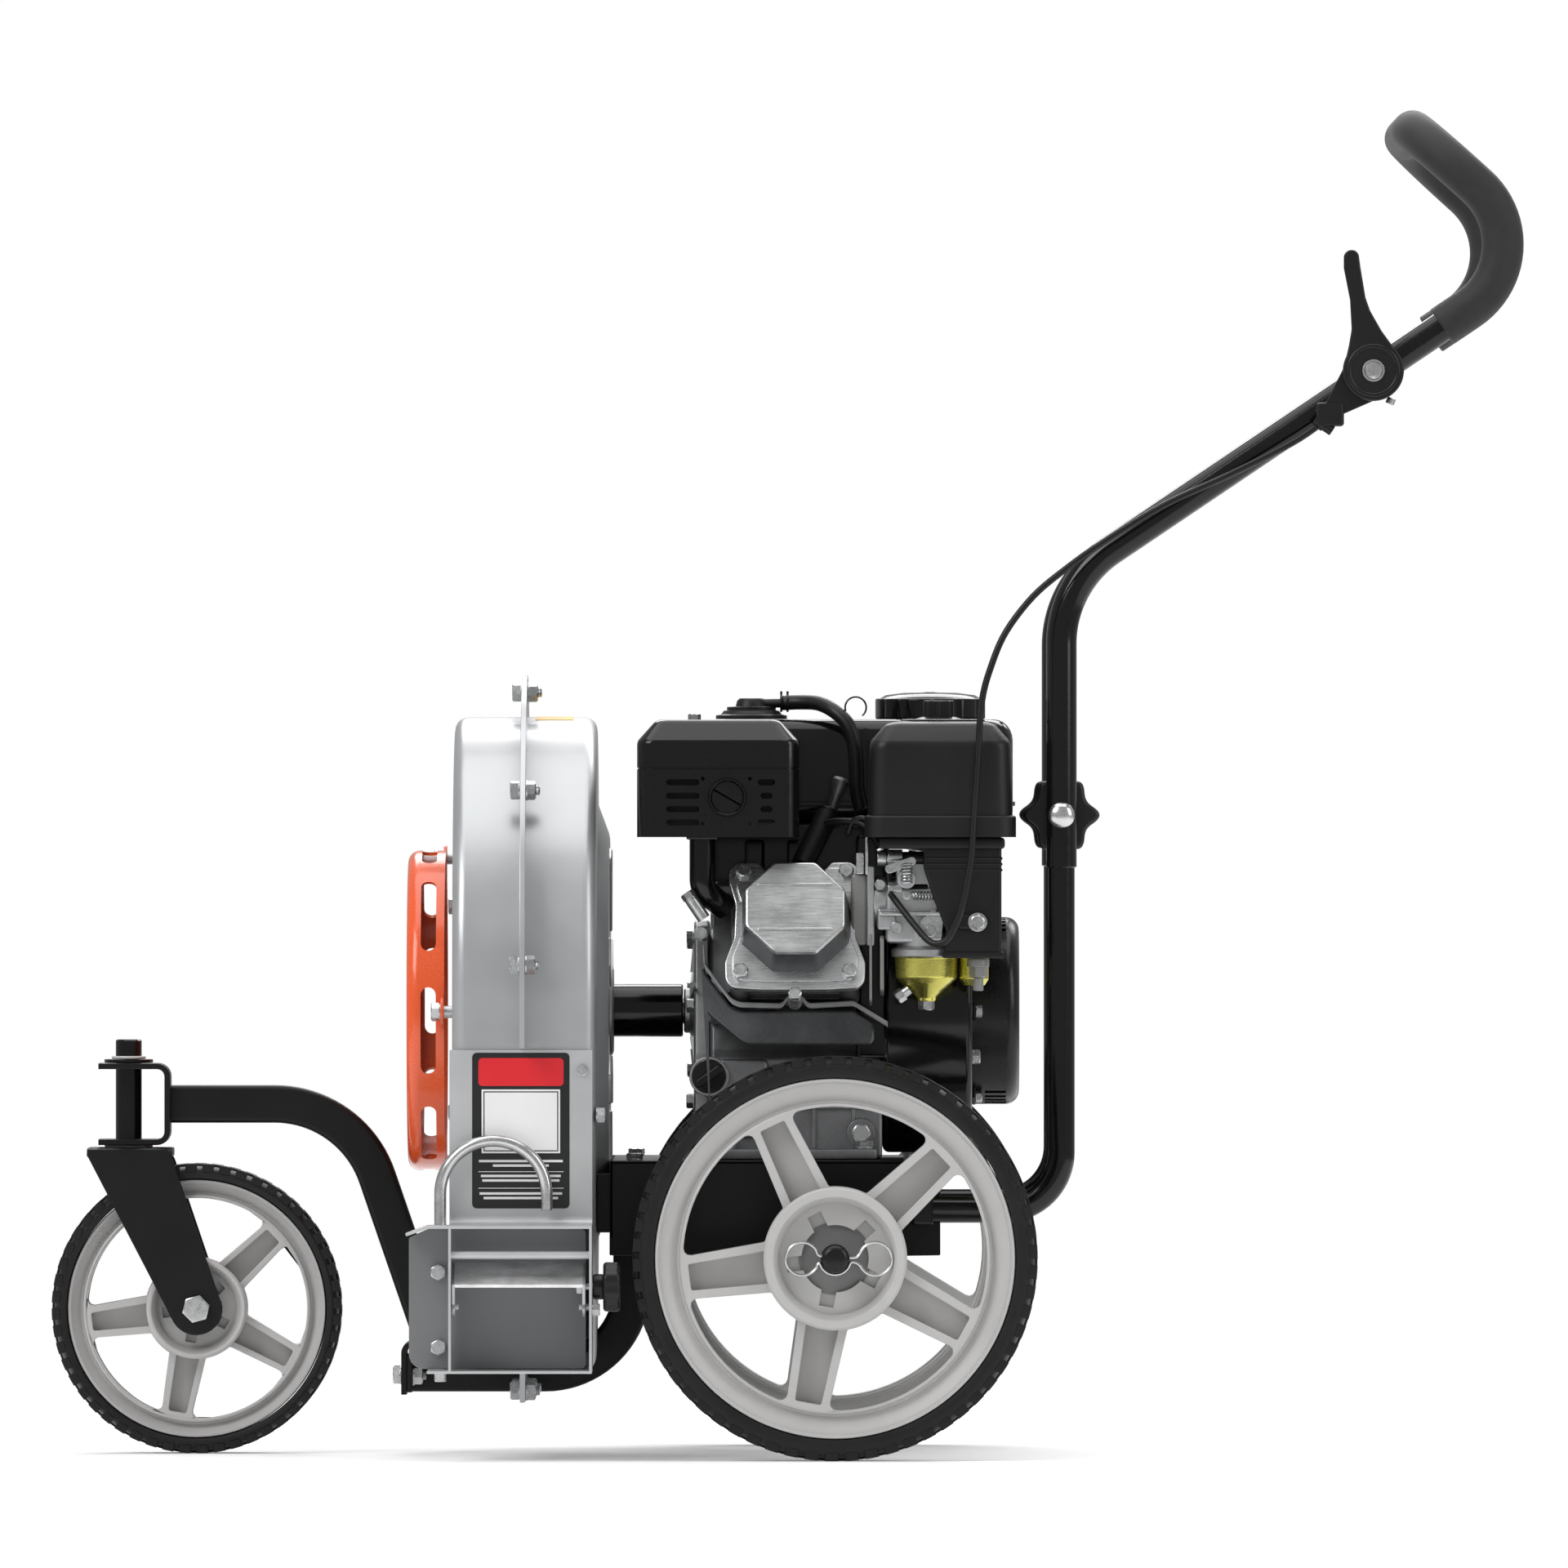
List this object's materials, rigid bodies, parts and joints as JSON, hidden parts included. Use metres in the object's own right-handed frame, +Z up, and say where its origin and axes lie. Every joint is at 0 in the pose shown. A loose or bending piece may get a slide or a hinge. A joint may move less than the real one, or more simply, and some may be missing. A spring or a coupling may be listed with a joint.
{
  "type": "walk behind leaf blower",
  "caption": "Petrol walk-behind leaf blower: scroll fan housing with side chute and orange inlet guard, engine, swivelling front wheel, spoked rear wheels and padded U-handle with throttle.",
  "frame": {"origin": "on the ground, at the middle of the overall footprint", "axes": "+X runs back to the handle, -Y is the discharge side (the machine's left side, facing forwards), +Z is up"},
  "size_m": [1.1109, 0.56, 1.0168],
  "materials": {
    "black_paint": "gloss black powder coat",
    "housing_gray": "satin silver-grey paint",
    "wheel_plastic": "light grey moulded plastic",
    "tyre_rubber": "matt black rubber",
    "grip_foam": "matt foam",
    "guard_orange": "semi-gloss orange paint",
    "black_plastic": "satin black plastic",
    "cast_aluminium": "cast aluminium",
    "plain_steel": "plain steel",
    "bright_steel": "bright plated steel",
    "yellow_zinc": "yellow zinc plate",
    "hose_rubber": "black rubber",
    "cast_iron": "bare casting"
  },
  "bodies": {
    "chassis": {"wheel_clip_left": "bright_steel", "wheel_clip_right": "bright_steel", "handle_bolt_left": "bright_steel", "handle_bolt_right": "bright_steel", "throttle_mount": "black_plastic", "air_cleaner_cover": "black_plastic", "air_cleaner_body": "black_plastic", "sediment_cup": "black_plastic", "fuel_tank_vent": "black_plastic", "rear_axle": "black_paint", "lower_handle_left": "black_paint", "lower_handle_right": "black_paint", "upper_handle": "black_paint", "caster_bracket": "black_paint", "front_arm": "black_paint", "spine_beam": "black_paint", "engine_deck": "black_paint", "muffler": "black_paint", "muffler_guard": "black_paint", "exhaust_pipe": "black_paint", "fuel_tank": "black_paint", "cooling_shroud": "black_paint", "recoil_cover": "black_paint", "handle_grip": "grip_foam", "throttle_cable": "hose_rubber", "vent_hose": "hose_rubber", "spark_plug_boot": "hose_rubber", "housing_front_shell": "housing_gray", "housing_rear_shell": "housing_gray", "discharge_chute": "housing_gray", "inlet_guard": "guard_orange", "crankcase": "cast_aluminium", "crankcase_cover": "cast_aluminium", "cylinder": "cast_aluminium", "valve_cover": "cast_aluminium", "carburetor": "cast_aluminium", "float_bowl": "yellow_zinc"},
    "rear_wheel_left": {"rear_rim_left": "wheel_plastic", "rear_tyre_left": "tyre_rubber"},
    "rear_wheel_right": {"rear_rim_right": "wheel_plastic", "rear_tyre_right": "tyre_rubber"},
    "caster": {"caster_fork": "black_paint", "kingpin": "black_paint", "front_axle": "bright_steel"},
    "front_wheel": {"front_rim": "wheel_plastic", "front_tyre": "tyre_rubber"},
    "throttle": {"throttle_lever": "black_plastic"},
    "vane": {"chute_vane": "housing_gray", "vane_knob": "black_plastic"},
    "diverter": {"diverter_flap": "housing_gray"},
    "loop": {"loop_pin": "bright_steel"},
    "rotor": {"impeller": "plain_steel", "fan_sleeve": "black_paint", "crankshaft": "plain_steel", "flywheel": "cast_iron"},
    "fuel_lid": {"fuel_cap": "black_plastic"},
    "oil_lid": {"oil_filler_cap": "black_plastic"},
    "pull": {"recoil_handle": "black_plastic"},
    "knob_left": {"handle_knob_left": "black_plastic"},
    "knob_right": {"handle_knob_right": "black_plastic"}
  },
  "joints": [
    {"name": "rear_wheel_left_spin", "type": "hinge", "parent": "chassis", "child": "rear_wheel_left", "pos_m": [0.038, -0.235, 0.152], "axis": [0, 1, 0], "continuous": true},
    {"name": "rear_wheel_right_spin", "type": "hinge", "parent": "chassis", "child": "rear_wheel_right", "pos_m": [0.038, 0.235, 0.152], "axis": [0, 1, 0], "continuous": true},
    {"name": "caster_swivel", "type": "hinge", "parent": "chassis", "child": "caster", "pos_m": [-0.498, 0, 0.233], "axis": [0, 0, 1], "continuous": true},
    {"name": "front_wheel_spin", "type": "hinge", "parent": "caster", "child": "front_wheel", "pos_m": [-0.446, 0, 0.11], "axis": [0, 1, 0], "continuous": true},
    {"name": "throttle_lever_turn", "type": "hinge", "parent": "chassis", "child": "throttle", "pos_m": [0.443, -0.195, 0.819], "axis": [0, 1, 0], "range_deg": [-25, 35]},
    {"name": "vane_tilt", "type": "hinge", "parent": "chassis", "child": "vane", "pos_m": [-0.2, -0.255, 0.116], "axis": [1, 0, 0], "range_deg": [-8, 25]},
    {"name": "diverter_swing", "type": "hinge", "parent": "chassis", "child": "diverter", "pos_m": [-0.2585, -0.218, 0.12], "axis": [0, 0, 1], "range_deg": [0, 85]},
    {"name": "loop_pin_lift", "type": "slide", "parent": "chassis", "child": "loop", "axis": [0, 0, 1], "range_m": [0, 0.03]},
    {"name": "fan_spin", "type": "hinge", "parent": "chassis", "child": "rotor", "pos_m": [-0.1, 0, 0.336], "axis": [1, 0, 0], "continuous": true},
    {"name": "fuel_cap_turn", "type": "hinge", "parent": "chassis", "child": "fuel_lid", "pos_m": [0.111, 0.04, 0.567], "axis": [0, 0, 1], "range_deg": [0, 90]},
    {"name": "oil_cap_turn", "type": "hinge", "parent": "chassis", "child": "oil_lid", "pos_m": [-0.057, -0.1, 0.287], "axis": [0, -1, 0], "range_deg": [0, 180]},
    {"name": "recoil_pull", "type": "slide", "parent": "chassis", "child": "pull", "axis": [0, 0.866, 0.5], "range_m": [0, 0.02], "stiffness_N_per_m": 400},
    {"name": "handle_knob_left_turn", "type": "hinge", "parent": "chassis", "child": "knob_left", "pos_m": [0.2086, -0.15, 0.4845], "axis": [0, 1, 0], "continuous": true},
    {"name": "handle_knob_right_turn", "type": "hinge", "parent": "chassis", "child": "knob_right", "pos_m": [0.2086, 0.15, 0.4845], "axis": [0, 1, 0], "continuous": true}
  ]
}
